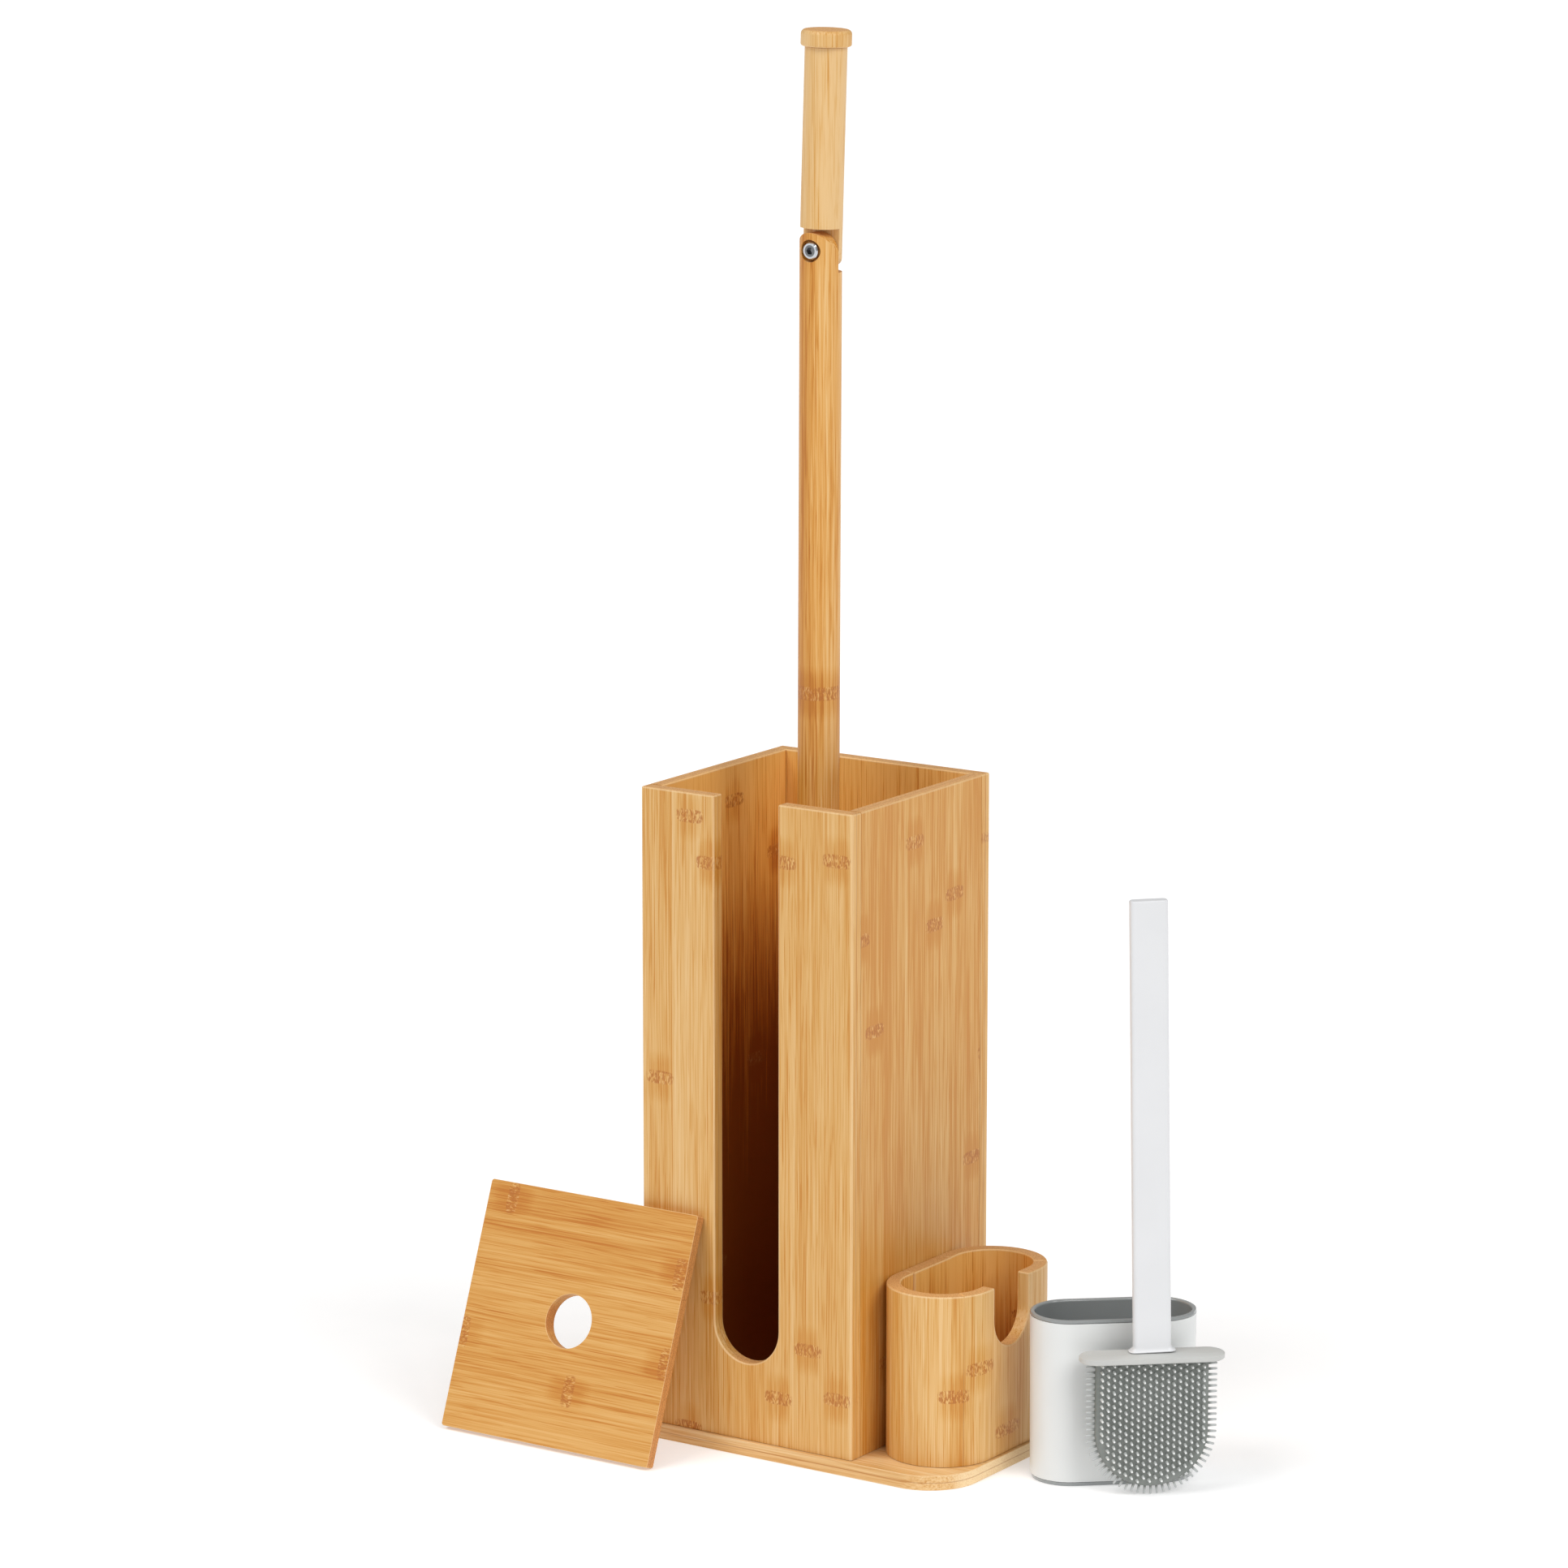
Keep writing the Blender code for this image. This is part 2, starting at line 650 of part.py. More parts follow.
def place_brush(obj, finish_name):
    """Stand a piece of the brush on its tip, turned to its place."""
    turn = Matrix.Rotation(BRUSH_TURN, 4, "Z")
    move(obj, Matrix.Translation((*BRUSH_PLACE, 0.0)) @ turn)
    return finish(obj, finish_name)


def handle_pose():
    """The handle's lean, about the middle of the collar."""
    return about(0.0, HEAD_TOP, -HANDLE_LEAN)


def tenon(extra, z0, z1):
    """The tail of the handle that runs down inside the head."""
    outline = rounded_rectangle(TENON_WIDTH + 2 * extra, TENON_THICKNESS + 2 * extra, 0.001, 2)
    return prism("tenon", outline, z0, z1)


def pocket(z0, z1):
    """The room the tenon takes."""
    return move(tenon(GAP, z0, z1), handle_pose())


def make_brush_head():
    """A flat pad with a full round lower end, as deep as its nubs."""
    r = HEAD_WIDTH / 2
    outline = arc((0.0, r), r, pi, 2 * pi, 36) + [(r, HEAD_TOP), (-r, HEAD_TOP)]
    head = extrude_y("brush_head", outline, -HEAD_THICKNESS / 2, HEAD_THICKNESS / 2)
    cut(head, pocket(HEAD_POCKET_FLOOR, HEAD_TOP + 0.01))
    place_brush(head, "grey_silicone")


def flange_ring(inset, z):
    outline = stadium(FLANGE_LENGTH - 2 * inset, FLANGE_WIDTH - 2 * inset, 16)
    return [(x, y, z) for x, y in outline]


def make_brush_flange():
    """An oval collar between the head and the handle, with a low domed top."""
    low = HEAD_TOP + GAP
    side = low + FLANGE_SIDE
    high = low + FLANGE_THICKNESS
    flange = loft("brush_flange", [
        flange_ring(0.0006, low), flange_ring(0.0, low + 0.0006),
        flange_ring(0.0, side), flange_ring(0.0007, side + 0.0006),
        flange_ring(0.0030, high - 0.0004), flange_ring(0.0055, high)])
    cut(flange, pocket(low - 0.01, high + 0.01))
    place_brush(flange, "grey_collar")


def handle_stations(foot):
    """Width, thickness and height up the handle: a flared foot, then a plain bar."""
    wide, thick = HANDLE_WIDTH, HANDLE_THICKNESS
    more_wide, more_thick = HANDLE_FOOT_WIDTH - wide, HANDLE_FOOT_THICKNESS - thick
    ease, flare, steps = HANDLE_FOOT_EASE, HANDLE_FLARE, 6
    stations = [(wide + more_wide - 2 * ease, thick + more_thick - 2 * ease, foot)]
    for i in range(steps + 1):
        share = (1 - i / steps) ** 2
        z = foot + ease + flare * i / steps
        stations.append((wide + more_wide * share, thick + more_thick * share, z))
    tip = HANDLE_TIP_EASE
    stations.append((wide, thick, BRUSH_TOP - tip / 2))
    stations.append((wide - tip, thick - tip, BRUSH_TOP))
    return stations


def make_brush_handle():
    """A flat bar with round edges that ends in the tenon."""
    foot = HEAD_TOP + FLANGE_THICKNESS + 2 * GAP + 0.0001
    rings = []
    for width, depth, z in handle_stations(foot):
        outline = rounded_rectangle(width, depth, depth * 0.36, 5)
        rings.append([(x, y, z) for x, y in outline])
    handle = loft("brush_handle", rings)
    join(handle, tenon(0.0, HEAD_POCKET_FLOOR + GAP, foot + 0.002))
    move(handle, handle_pose())
    place_brush(handle, "white_plastic")


def main():
    for obj in list(bpy.data.objects):
        bpy.data.objects.remove(obj)
    make_base()
    make_screws()
    make_tower()
    make_cup()
    make_pole()
    make_arm()
    make_cap()
    make_pivot()
    make_lid()
    make_insert()
    make_brush_head()
    make_brush_flange()
    make_brush_handle()


main()
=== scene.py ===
"""Looks of the bamboo bathroom stand: eased edges, the brush's nubs, every material, the
studio and the camera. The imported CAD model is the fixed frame, and nothing in it is moved.
"""

import json
from collections import namedtuple
from math import cos, pi, radians, sin

import bmesh
import bpy
from mathutils import Matrix, Vector

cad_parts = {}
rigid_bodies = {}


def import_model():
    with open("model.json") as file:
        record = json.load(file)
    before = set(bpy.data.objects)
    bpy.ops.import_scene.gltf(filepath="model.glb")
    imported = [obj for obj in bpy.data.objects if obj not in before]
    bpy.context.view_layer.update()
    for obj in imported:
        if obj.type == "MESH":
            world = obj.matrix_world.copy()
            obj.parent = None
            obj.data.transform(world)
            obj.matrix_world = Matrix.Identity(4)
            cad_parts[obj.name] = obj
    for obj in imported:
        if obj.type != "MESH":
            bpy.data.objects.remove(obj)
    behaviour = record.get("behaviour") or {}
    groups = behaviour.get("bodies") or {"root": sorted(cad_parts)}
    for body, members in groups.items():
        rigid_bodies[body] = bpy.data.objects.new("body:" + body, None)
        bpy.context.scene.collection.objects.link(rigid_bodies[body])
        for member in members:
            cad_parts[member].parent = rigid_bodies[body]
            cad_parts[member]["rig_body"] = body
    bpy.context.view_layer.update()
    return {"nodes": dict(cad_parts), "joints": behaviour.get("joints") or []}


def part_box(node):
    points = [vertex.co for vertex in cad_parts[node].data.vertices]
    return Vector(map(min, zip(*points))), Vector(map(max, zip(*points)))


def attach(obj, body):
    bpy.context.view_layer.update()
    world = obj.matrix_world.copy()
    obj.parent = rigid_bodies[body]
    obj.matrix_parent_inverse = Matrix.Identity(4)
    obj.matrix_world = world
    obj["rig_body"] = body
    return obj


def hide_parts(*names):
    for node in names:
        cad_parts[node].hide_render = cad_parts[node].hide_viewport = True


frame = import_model()

X, Y, Z = Vector((1, 0, 0)), Vector((0, 1, 0)), Vector((0, 0, 1))
MM = 0.001

# The object's own places, read from the frame ------------------------------------------

TOWER_LOW, TOWER_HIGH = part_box("tower_front_panel")
TOWER_MIDDLE = (TOWER_LOW.x + TOWER_HIGH.x) / 2
BOARD = TOWER_HIGH.y - TOWER_LOW.y
TOWER_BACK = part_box("tower_back_panel")[1].y
BASE_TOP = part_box("base_plate")[1].z
JOINTS = {joint["name"]: joint for joint in frame["joints"]}

# Bamboo: tones, sizes and weights ------------------------------------------------------

Grain = namedtuple("Grain", "origin across along depth")
Tone = namedtuple("Tone", "pale light middle warm deep")
Size = namedtuple("Size", "across along")

PANEL_TONE = Tone((230, 190, 132), (225, 180, 115), (219, 169, 98), (211, 154, 76), (202, 136, 52))
BASE_TONE = Tone((236, 204, 156), (231, 194, 140), (225, 182, 122), (216, 167, 102), (204, 148, 78))
# painted shade: the deeper, warmer tone of the hollow faces inside the tower and the cup
HOLLOW_SHADE_TONE = Tone((248, 192, 106), (238, 175, 84), (224, 152, 62), (204, 126, 44), (170, 90, 26))
POLE_TONE = Tone((232, 187, 122), (226, 172, 98), (217, 156, 74), (206, 138, 50), (188, 114, 26))
LID_TONE = Tone((224, 174, 104), (218, 164, 90), (211, 152, 74), (203, 138, 57), (192, 118, 38))
TONE_PLACES = (0.0, 0.28, 0.5, 0.76, 1.0)
PANEL_END = ((222, 170, 108), (186, 128, 70))   # cut ends: between and on the bundles
BASE_END = ((242, 214, 168), (226, 188, 134))
LID_END = ((206, 142, 78), (172, 110, 54))
DASH_DARK = (178, 104, 36)
DASH_BRIGHT = (240, 202, 138)
# painted highlight on the rounded edges of the boards
ARRIS_HIGHLIGHT = (238, 206, 158)
GLUE_TONE = (176, 116, 62)

STRIP = 22 * MM                     # width of one bamboo strip in a board
POLE_STRIP = 9 * MM
CUP_STRIP = 15 * MM
LAYER_SHIFT = 0.43                  # of a strip, between a board's two layers
SEAM_WIDTH = 0.35 * MM
GLUE_HALF_WIDTH = (0.15 * MM, 0.45 * MM)    # full colour, and none
BUNDLE = 0.8 * MM                   # one dot in the end grain

FINE = Size(0.70 * MM, 60 * MM)     # fibres
MEDIUM = Size(1.9 * MM, 190 * MM)
BROAD = Size(7.0 * MM, 260 * MM)
DARK_LINE = Size(1.1 * MM, 160 * MM)
THREAD = Size(0.75 * MM, 34 * MM)   # short darker threads
SWAY = Size(20 * MM, 110 * MM)      # how the fibres wander from straight
SWAY_REACH = 1.6 * MM
DASH = Size(0.9 * MM, 3.4 * MM)     # the wavy dashes of a culm node
MARK = Size(10.0 * MM, 4.2 * MM)    # half width and half height of a culm node
HALO = Size(10.5 * MM, 17.0 * MM)   # the soft stain above and below it

# How far each layer moves a point along its tone, from TONE_START
TONE_START = -1.00
STRIP_WEIGHT, SEAM_WEIGHT = 0.30, 0.10
FINE_WEIGHT, MEDIUM_WEIGHT, BROAD_WEIGHT = 1.20, 0.70, 0.70
DARK_LINE_WEIGHT, THREAD_WEIGHT = 0.30, 0.34
STAIN_WEIGHT = 0.34

# How strongly each thing on top of the tone colours it
DARK_DASH_MIX, BRIGHT_DASH_MIX = 0.80, 0.42
# The first of these is the painted highlight on the rounded edges
ARRIS_HIGHLIGHT_MIX, GLUE_MIX = 0.45, 0.55
DASH_RELIEF = 1.5                   # beside a fibre's relief of 1
STRIPS_APART = 40.0                 # in noise space, so that no two strips match
FAR = 100.0                         # further than any culm node

ARRIS_LAYER = "arris"               # 1 on the rounded edges of a board


def linear(colour):
    """An sRGB colour of 0 to 255 as linear RGBA."""
    channels = [c / 255 for c in colour]
    return [c / 12.92 if c <= 0.04045 else ((c + 0.055) / 1.055) ** 2.4 for c in channels] + [1.0]


def tone_stops(tone):
    return list(zip(TONE_PLACES, [linear(colour) for colour in tone]))


class Graph:
    """One material's node tree, built a node at a time."""

    def __init__(self, name):
        self.material = bpy.data.materials.new(name)
        self.material.use_nodes = True
        self.tree = self.material.node_tree
        self.shader = self.tree.nodes["Principled BSDF"]

    def node(self, kind, **settings):
        made = self.tree.nodes.new("ShaderNode" + kind)
        for key, value in settings.items():
            setattr(made, key, value)
        return made

    def feed(self, socket, value):
        """Link another node's output, or set a plain value."""
        if isinstance(value, bpy.types.NodeSocket):
            self.tree.links.new(value, socket)
        else:
            socket.default_value = value

    def math(self, operation, *values):
        made = self.node("Math", operation=operation)
        for socket, value in zip(made.inputs, values):
            self.feed(socket, value)
        return made.outputs[0]

    def vector(self, operation, *values):
        made = self.node("VectorMath", operation=operation)
        for socket, value in zip(made.inputs, values):
            self.feed(socket, value)
        scalar = operation in ("DOT_PRODUCT", "LENGTH")
        return made.outputs["Value" if scalar else "Vector"]

    def combine(self, x, y, z):
        made = self.node("CombineXYZ")
        for socket, value in zip(made.inputs, (x, y, z)):
            self.feed(socket, value)
        return made.outputs[0]

    def noise(self, vector, scale=1.0, detail=0.0, distortion=0.0):
        made = self.node("TexNoise")
        self.feed(made.inputs["Vector"], vector)
        made.inputs["Scale"].default_value = scale
        made.inputs["Detail"].default_value = detail
        made.inputs["Distortion"].default_value = distortion
        return made.outputs["Fac"]

    def step(self, value, low, high, to_low=0.0, to_high=1.0):
        """A smooth step from one level to another as the value goes from low to high."""
        made = self.node("MapRange", interpolation_type="SMOOTHSTEP")
        for socket, given in zip(made.inputs, (value, low, high, to_low, to_high)):
            self.feed(socket, given)
        return made.outputs["Result"]

    def total(self, start, *weighted):
        """start plus each (weight, value) product."""
        for weight, value in weighted:
            start = self.math("MULTIPLY_ADD", value, weight, start)
        return start

    def mix(self, factor, first, second, blend="MIX"):
        made = self.node("Mix", data_type="RGBA", blend_type=blend)
        self.feed(made.inputs["Factor"], factor)
        self.feed(made.inputs["A"], first)
        self.feed(made.inputs["B"], second)
        return made.outputs["Result"]

    def shaded(self, colour, shade):
        """An sRGB colour times a level."""
        return self.combine(*[self.math("MULTIPLY", shade, c) for c in linear(colour)[:3]])

    def ramp(self, value, stops):
        """Colours at positions 0 to 1, with smooth changes."""
        made = self.node("ValToRGB")
        made.color_ramp.interpolation = "EASE"
        elements = made.color_ramp.elements
        elements[0].position, elements[0].color = stops[0]
        elements[1].position, elements[1].color = stops[-1]
        for position, colour in stops[1:-1]:
            elements.new(position).color = colour
        self.feed(made.inputs[0], value)
        return made.outputs["Color"]

    def bump(self, height, distance, strength):
        made = self.node("Bump")
        made.inputs["Distance"].default_value = distance
        made.inputs["Strength"].default_value = strength
        self.feed(made.inputs["Height"], height)
        self.feed(self.shader.inputs["Normal"], made.outputs["Normal"])

    def point(self):
        return self.node("TexCoord").outputs["Object"]

    def surface_normal(self):
        return self.node("TexCoord").outputs["Normal"]


def near_marks(g, across, along, marks, size):
    """How far a point is from the nearest culm node, 1 on its boxy outline."""
    place = g.combine(g.math("DIVIDE", across, size.across),
                      g.math("DIVIDE", along, size.along), 0.0)
    nearest = FAR
    for mark_across, mark_along in marks:
        centre = (mark_across / size.across, mark_along / size.along, 0.0)
        away = g.vector("SUBTRACT", place, centre)
        reach = g.vector("LENGTH", g.vector("MULTIPLY", away, away))
        nearest = g.math("MINIMUM", reach, nearest)
    return nearest


def faces(way):
    """A test for the side of a board that faces one way."""
    return lambda g: g.step(g.vector("DOT_PRODUCT", g.surface_normal(), way), 0.4, 0.6)


def faces_inwards(x, low_y, high_y):
    """A test for the hollow side of an oval wall round an upright line at x, y."""
    def test(g):
        point = g.point()
        y = g.math("MINIMUM", g.vector("DOT_PRODUCT", point, Y), high_y)
        nearest = g.combine(x, g.math("MAXIMUM", y, low_y), 0.0)
        out = g.vector("MULTIPLY", g.vector("SUBTRACT", point, nearest), (1, 1, 0))
        outward = g.vector("DOT_PRODUCT", g.surface_normal(), out)
        return g.step(outward, -8 * MM, -2 * MM, 1.0, 0.0)
    return test


def lay_strips(g, across, depth, strip, ply):
    """Count strips across a board, and say how near a point is to its glue line."""
    in_strips = g.math("DIVIDE", across, strip)
    if ply is None:
        return in_strips, None
    in_strips = g.total(in_strips, (LAYER_SHIFT, g.math("GREATER_THAN", depth, ply)))
    off_ply = g.math("ABSOLUTE", g.math("SUBTRACT", depth, ply))
    return in_strips, g.step(off_ply, *GLUE_HALF_WIDTH, 1.0, 0.0)


def grow_fibres(g, across, along, depth, in_strips, seed):
    """A function that makes fibres of any size, and each strip's own random tone."""
    wide = g.combine(g.math("DIVIDE", across, SWAY.across), g.math("DIVIDE", along, SWAY.along),
                     g.math("ADD", g.math("DIVIDE", depth, SWAY.across), seed))
    swayed = g.total(across, (SWAY_REACH, g.math("SUBTRACT", g.noise(wide, detail=1.0), 0.5)))
    white = g.node("TexWhiteNoise", noise_dimensions="1D")
    g.feed(white.inputs["W"], g.math("ADD", g.math("FLOOR", in_strips), seed))
    shift = g.vector("SCALE", white.outputs["Color"])
    shift.node.inputs["Scale"].default_value = STRIPS_APART

    def fibres(size, detail=1.0, distortion=0.0):
        stretched = g.combine(g.math("DIVIDE", swayed, size.across),
                              g.math("DIVIDE", along, size.along),
                              g.math("DIVIDE", depth, size.across))
        return g.noise(g.vector("ADD", stretched, shift), 1.0, detail, distortion)

    return fibres, white.outputs["Value"]


def draw_culm_nodes(g, across, along, marks, fibres):
    """The stain, the dark and bright dashes and the relief of a board's culm nodes."""
    in_mark = g.step(near_marks(g, across, along, marks, MARK), 0.75, 1.1, 1.0, 0.0)
    stain = g.step(near_marks(g, across, along, marks, HALO), 0.0, 1.1, 1.0, 0.0)
    dashes = fibres(DASH, distortion=0.9)
    dark = g.math("MULTIPLY", in_mark, g.step(dashes, 0.47, 0.55))
    bright = g.math("MULTIPLY", in_mark, g.step(dashes, 0.34, 0.41, 1.0, 0.0))
    return stain, dark, bright, g.math("MULTIPLY", in_mark, dashes)


def draw_cut_end(g, across, along, depth, ends):
    """The dots of the fibre bundles in a cut end."""
    bundles = g.node("TexVoronoi")
    g.feed(bundles.inputs["Vector"], g.combine(across, g.math("MULTIPLY", along, 0.02), depth))
    bundles.inputs["Scale"].default_value = 1 / BUNDLE
    between, on_bundle = [linear(colour) for colour in ends]
    return g.mix(g.step(bundles.outputs["Distance"], 0.15, 0.55), on_bundle, between)


def bamboo(name, tone, grain, seed, strip=STRIP, marks=(), ply=None, ends=PANEL_END, offset=0.0,
           side_shade=0.0, inside=None, foot_shade=(0.0, 0.0)):
    """Laminated bamboo: strips side by side, each with its own tone and run of fibres.

    ply is the depth of the glue line between a board's two layers of strips. offset makes
    the whole tone deeper. drift paints shade on one side: the tone gets that much deeper per
    metre across. inside tests for a hollow's faces, which get painted shade: the deeper inner
    tone, sink[0] deeper still at the foot and changing by sink[1] per metre up.
    """
    g = Graph(name)
    local = g.vector("SUBTRACT", g.point(), grain.origin)
    across, along, depth = (g.vector("DOT_PRODUCT", local, axis)
                            for axis in (grain.across, grain.along, grain.depth))
    in_strips, glue = lay_strips(g, across, depth, strip, ply)
    fibres, strip_tone = grow_fibres(g, across, along, depth, in_strips, seed)

    fine = fibres(FINE)
    dark_line = g.step(fibres(DARK_LINE, detail=0.0), 0.60, 0.72)
    thread = g.step(fibres(THREAD), 0.56, 0.68)
    off_middle = g.math("ABSOLUTE", g.math("SUBTRACT", g.math("FRACT", in_strips), 0.5))
    seam = g.step(off_middle, 0.5 - SEAM_WIDTH / strip, 0.5)
    # the drift term is painted shade: one side of a part painted darker than the other
    value = g.total(offset + TONE_START, (STRIP_WEIGHT, strip_tone), (FINE_WEIGHT, fine),
                    (MEDIUM_WEIGHT, fibres(MEDIUM)), (BROAD_WEIGHT, fibres(BROAD)),
                    (DARK_LINE_WEIGHT, dark_line), (THREAD_WEIGHT, thread), (SEAM_WEIGHT, seam),
                    (side_shade, across))
    height = fine
    if marks:
        stain, dark, bright, relief = draw_culm_nodes(g, across, along, marks, fibres)
        value = g.total(value, (STAIN_WEIGHT, stain))
        height = g.total(fine, (DASH_RELIEF, relief))

    colour = g.ramp(value, tone_stops(tone))
    # painted shade: a hollow's faces take the deeper inner tone, deeper still towards the foot
    if inside:
        deeper = g.total(foot_shade[0], (1.0, value), (foot_shade[1], along))
        colour = g.mix(inside(g), colour, g.ramp(deeper, tone_stops(HOLLOW_SHADE_TONE)))
    if marks:
        colour = g.mix(g.math("MULTIPLY", dark, DARK_DASH_MIX), colour, linear(DASH_DARK))
        colour = g.mix(g.math("MULTIPLY", bright, BRIGHT_DASH_MIX), colour, linear(DASH_BRIGHT))
    # painted highlight: the rounded edges are painted paler
    arris = g.node("Attribute", attribute_name=ARRIS_LAYER).outputs["Fac"]
    colour = g.mix(g.math("MULTIPLY", arris, ARRIS_HIGHLIGHT_MIX), colour, linear(ARRIS_HIGHLIGHT))

    end_on = g.math("ABSOLUTE", g.vector("DOT_PRODUCT", g.surface_normal(), grain.along))
    end = g.step(end_on, 0.80, 0.97)
    colour = g.mix(end, colour, draw_cut_end(g, across, along, depth, ends))
    if glue is not None:
        colour = g.mix(g.math("MULTIPLY", glue, GLUE_MIX), colour, linear(GLUE_TONE))
    g.feed(g.shader.inputs["Base Color"], colour)
    g.feed(g.shader.inputs["Roughness"], g.total(0.38, (0.16, fine), (0.12, end)))
    g.bump(height, 0.10 * MM, 0.4)
    return g.material


# Plastics and metals ------------------------------------------------------------------

INSERT_WHITE, HANDLE_WHITE = (229, 231, 230), (225, 226, 228)
LINER_GREY, COLLAR_GREY = (150, 154, 154), (198, 199, 196)
CHROME, ZINC = (214, 217, 222), (196, 197, 194)
CLOUD = 30 * MM         # one patch of the uneven sheen
RING = 0.12 * MM        # one turning ring
SPANGLE = 0.9 * MM      # one grain of plating
# the painted shade of a socket fades in over this width
SOCKET_SHADE_EDGE = 0.4 * MM


def moulded(name, colour, roughness, grain_size, relief, mottle=0.04):
    """Moulded plastic: a fine skin, and a faint uneven sheen."""
    g = Graph(name)
    point = g.point()
    skin = g.noise(point, 1 / grain_size, 2.0)
    cloud = g.noise(point, 1 / CLOUD, 2.0)
    shade = g.step(cloud, 0.3, 0.7, 1 - mottle, 1.0)
    g.feed(g.shader.inputs["Base Color"], g.shaded(colour, shade))
    g.feed(g.shader.inputs["Roughness"], g.total(roughness - 0.05, (0.10, cloud), (0.04, skin)))
    g.bump(skin, relief, 0.4)
    return g


def white_plastic(name, colour):
    return moulded(name, colour, 0.30, 0.35 * MM, 0.02 * MM, 0.02).material


def grey_plastic(name):
    g = moulded(name, LINER_GREY, 0.13, 0.5 * MM, 0.01 * MM)
    g.shader.inputs["Coat Weight"].default_value = 0.8
    g.shader.inputs["Coat Roughness"].default_value = 0.06
    return g.material


def grey_collar(name):
    return moulded(name, COLLAR_GREY, 0.42, 0.4 * MM, 0.03 * MM).material


def turned_metal(name, colour, roughness, axis, centre, spangle, face=0.0):
    """Turned and plated metal: rings about its axis and a faint spangle.

    Nearer the axis than face, the metal is painted darker: painted shade in the socket.
    """
    g = Graph(name)
    local = g.vector("SUBTRACT", g.point(), centre)
    along = g.vector("DOT_PRODUCT", local, axis)
    out = g.vector("LENGTH", g.vector("CROSS_PRODUCT", local, axis))
    turned = g.combine(g.math("DIVIDE", out, RING), g.math("DIVIDE", along, RING), 0.0)
    rings = g.noise(turned, 1.0, 1.0)
    grains = g.node("TexVoronoi")
    g.feed(grains.inputs["Vector"], g.point())
    grains.inputs["Scale"].default_value = 1 / SPANGLE
    shade = g.step(rings, 0.2, 0.8, 0.82, 1.0)
    # painted shade: darker within face of the axis, for the socket
    shade = g.math("MULTIPLY", shade, g.step(out, face, face + SOCKET_SHADE_EDGE, 0.30, 1.0))
    g.feed(g.shader.inputs["Base Color"],
           g.mix(spangle, g.shaded(colour, shade), grains.outputs["Color"], "SOFT_LIGHT"))
    g.shader.inputs["Metallic"].default_value = 1.0
    g.feed(g.shader.inputs["Roughness"], g.total(roughness - 0.04, (0.10, rings)))
    g.bump(rings, 0.02 * MM, 0.3)
    return g.material


# Eased edges ---------------------------------------------------------------------------

SHARP_EDGE = radians(28)        # an edge that can be rounded
SMOOTH_BELOW = radians(38)


def copy_of(node):
    """A new piece with the node's shape that stands for it on the same body."""
    source = frame["nodes"][node]
    mesh = source.data.copy()
    piece = bpy.data.objects.new(f"{node}_eased", mesh)
    bpy.context.scene.collection.objects.link(piece)
    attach(piece, source["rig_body"])
    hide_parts(node)
    return piece


def ease(node, material, *rules):
    """Round a part's arrises. Each rule is (radius, chosen), asked of every sharp edge.

    chosen gets an edge's middle and its direction.
    """
    piece = copy_of(node)
    mesh = piece.data
    if "custom_normal" in mesh.attributes:
        mesh.attributes.remove(mesh.attributes["custom_normal"])
    bm = bmesh.new()
    bm.from_mesh(mesh)
    bmesh.ops.remove_doubles(bm, verts=bm.verts, dist=1e-6)
    bmesh.ops.dissolve_limit(bm, angle_limit=radians(0.5), verts=bm.verts, edges=bm.edges)
    rounded = bm.faces.layers.float.new(ARRIS_LAYER)
    for radius, chosen in rules:
        edges = [e for e in bm.edges if is_sharp(e) and chosen(middle(e), direction(e))]
        made = bmesh.ops.bevel(bm, geom=edges, offset=radius, offset_type="OFFSET", segments=3,
                               profile=0.5, affect="EDGES", clamp_overlap=True)
        for face in made["faces"]:
            face[rounded] = 1.0
    for face in bm.faces:
        face.smooth = True
    bm.to_mesh(mesh)
    bm.free()
    mesh.set_sharp_from_angle(angle=SMOOTH_BELOW)
    piece.modifiers.new("normals", "WEIGHTED_NORMAL").keep_sharp = True
    wear(piece, material)
    return piece


def is_sharp(edge):
    return len(edge.link_faces) == 2 and edge.calc_face_angle() > SHARP_EDGE


def middle(edge):
    return (edge.verts[0].co + edge.verts[1].co) / 2


def direction(edge):
    return (edge.verts[1].co - edge.verts[0].co).normalized()


def wear(piece, material):
    piece.data.materials.clear()
    piece.data.materials.append(material)


# Stand ---------------------------------------------------------------------------------

OUTER_ARRIS = 1.3 * MM
ARRIS = 1.0 * MM
JOINT_ARRIS = 0.5 * MM
CAP_ARRIS = 0.25 * MM
LID_ARRIS = 0.8 * MM
NEAR = 0.1 * MM                 # close enough to be on a face
# painted shade in the hollows: how much deeper the inner tone is at the foot, and its change per
# metre up
TOWER_FOOT_SHADE = (1.6, -5.5)
CUP_FOOT_SHADE = (0.6, -10.0)
SLOT_REACH = 25 * MM            # the edges this near the tower's middle are the slot's
SLOT_FLOOR = 20 * MM            # above the base
TOP_BAND = 3 * MM
CUP_NOTCH_Y = -2.5 * MM
CUP_NOTCH_REACH = 21 * MM
CUP_NOTCH_FLOOR = 60 * MM
SEAM_CLOSING = 0.28 * MM
BASE_CORNER = 32.5 * MM         # radius at the cup end
BASE_CORNER_SPAN = 35 * MM
BASE_CORNER_DEPTH = 12 * MM
POLE_RADIUS = 12.5 * MM
POLE_NODE = 454 * MM            # the culm node's height on the pole
PIVOT_REACH = 16 * MM           # half the height of the lap joint's band
LID_EDGE = 6.5 * MM             # thickness of the lid's thin edge
LID_PLY = -3.2 * MM             # the glue line, under the lid's face

